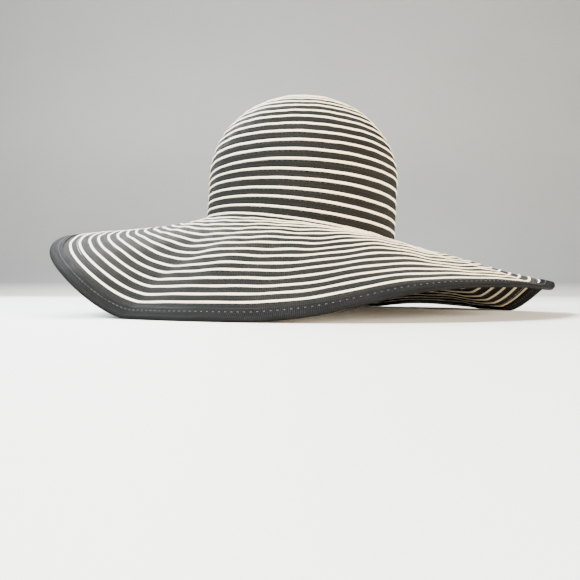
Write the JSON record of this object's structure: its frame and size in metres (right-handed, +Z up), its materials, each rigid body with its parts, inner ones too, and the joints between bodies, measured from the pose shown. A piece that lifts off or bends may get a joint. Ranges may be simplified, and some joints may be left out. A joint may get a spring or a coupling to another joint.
{
  "type": "wide-brim sun hat",
  "caption": "Wide-brim sun hat of striped ribbon braid with a round crown, a waved drooping brim and a dark bound edge, resting on its brim.",
  "frame": {"origin": "on the ground, under the middle of the hat's box", "axes": "+Z up from the ground the hat rests on, -Y towards the hat's front, +X towards the right side as a viewer in front of it sees it"},
  "size_m": [0.436, 0.4288, 0.1942],
  "materials": {
    "ribbon_braid": "matte dark ribbon sewn round in rows, each with a pale corded edge",
    "binding_ribbon": "matte black ribbed ribbon"
  },
  "bodies": {
    "root": {"crown_dome": "ribbon_braid", "crown_side": "ribbon_braid", "brim": "ribbon_braid", "edge_binding": "binding_ribbon"}
  },
  "joints": []
}
